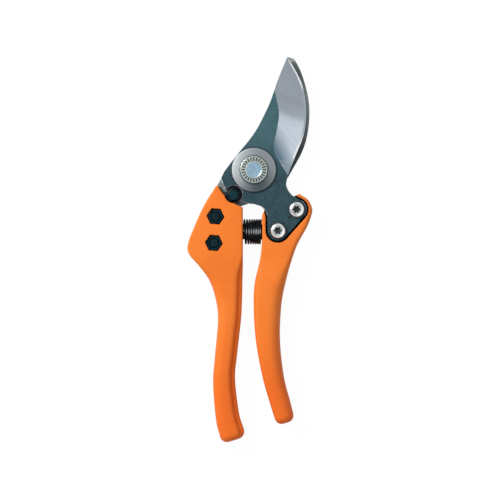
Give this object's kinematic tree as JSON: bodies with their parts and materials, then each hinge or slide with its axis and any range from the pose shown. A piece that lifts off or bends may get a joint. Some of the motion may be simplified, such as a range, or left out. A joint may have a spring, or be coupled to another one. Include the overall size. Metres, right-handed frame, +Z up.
{
  "type": "bypass pruner",
  "caption": "Bypass pruner with a ground curved blade passing a hooked counter-blade, orange moulded handles, coil spring and thumb lock.",
  "frame": {"origin": "on the pivot axis, on the flat end of the pivot bolt that the pruner lies on", "axes": "+Z up from that surface along the pivot axis towards the blade side, +Y along the closed blade, +X towards the handle that carries the blade"},
  "size_m": [0.0708, 0.2173, 0.0177],
  "materials": {
    "orange_moulding": "satin moulded plastic",
    "blade_steel": "dark blued steel with ground silver edge",
    "turned_steel": "turned steel",
    "zinc": "bright zinc",
    "black_oxide": "black oxide",
    "black_plastic": "black plastic"
  },
  "bodies": {
    "counter_blade_side": {"counter_blade": "blade_steel", "left_handle": "orange_moulding", "left_screw_upper": "zinc", "left_screw_lower": "zinc", "left_washer_upper": "zinc", "left_washer_lower": "zinc", "left_nut_upper": "black_oxide", "left_nut_lower": "black_oxide", "pivot_bolt": "turned_steel", "pivot_front_washer": "turned_steel", "pivot_rear_washer": "turned_steel", "pivot_nut": "black_oxide", "lock_pin": "zinc", "handle_spring": "black_oxide"},
    "blade_side": {"cutting_blade": "blade_steel", "right_handle": "orange_moulding", "right_screw_upper": "zinc", "right_screw_lower": "zinc", "right_washer_upper": "zinc", "right_washer_lower": "zinc", "right_nut_upper": "black_oxide", "right_nut_lower": "black_oxide"},
    "lock": {"lock_catch": "black_plastic"}
  },
  "joints": [
    {"name": "blade_pivot", "type": "hinge", "parent": "counter_blade_side", "child": "blade_side", "pos_m": [0, 0, 0.01185], "axis": [0, 0, 1], "range_deg": [0, 32], "deforming": ["handle_spring"]},
    {"name": "lock_swing", "type": "hinge", "parent": "counter_blade_side", "child": "lock", "pos_m": [-0.01817, -0.01817, 0.0128], "axis": [0, 0, 1], "range_deg": [-70.4, 0]}
  ],
  "couplings": [
    {"joint": "lock_swing", "follows": "blade_pivot", "ratio": -2.2}
  ]
}
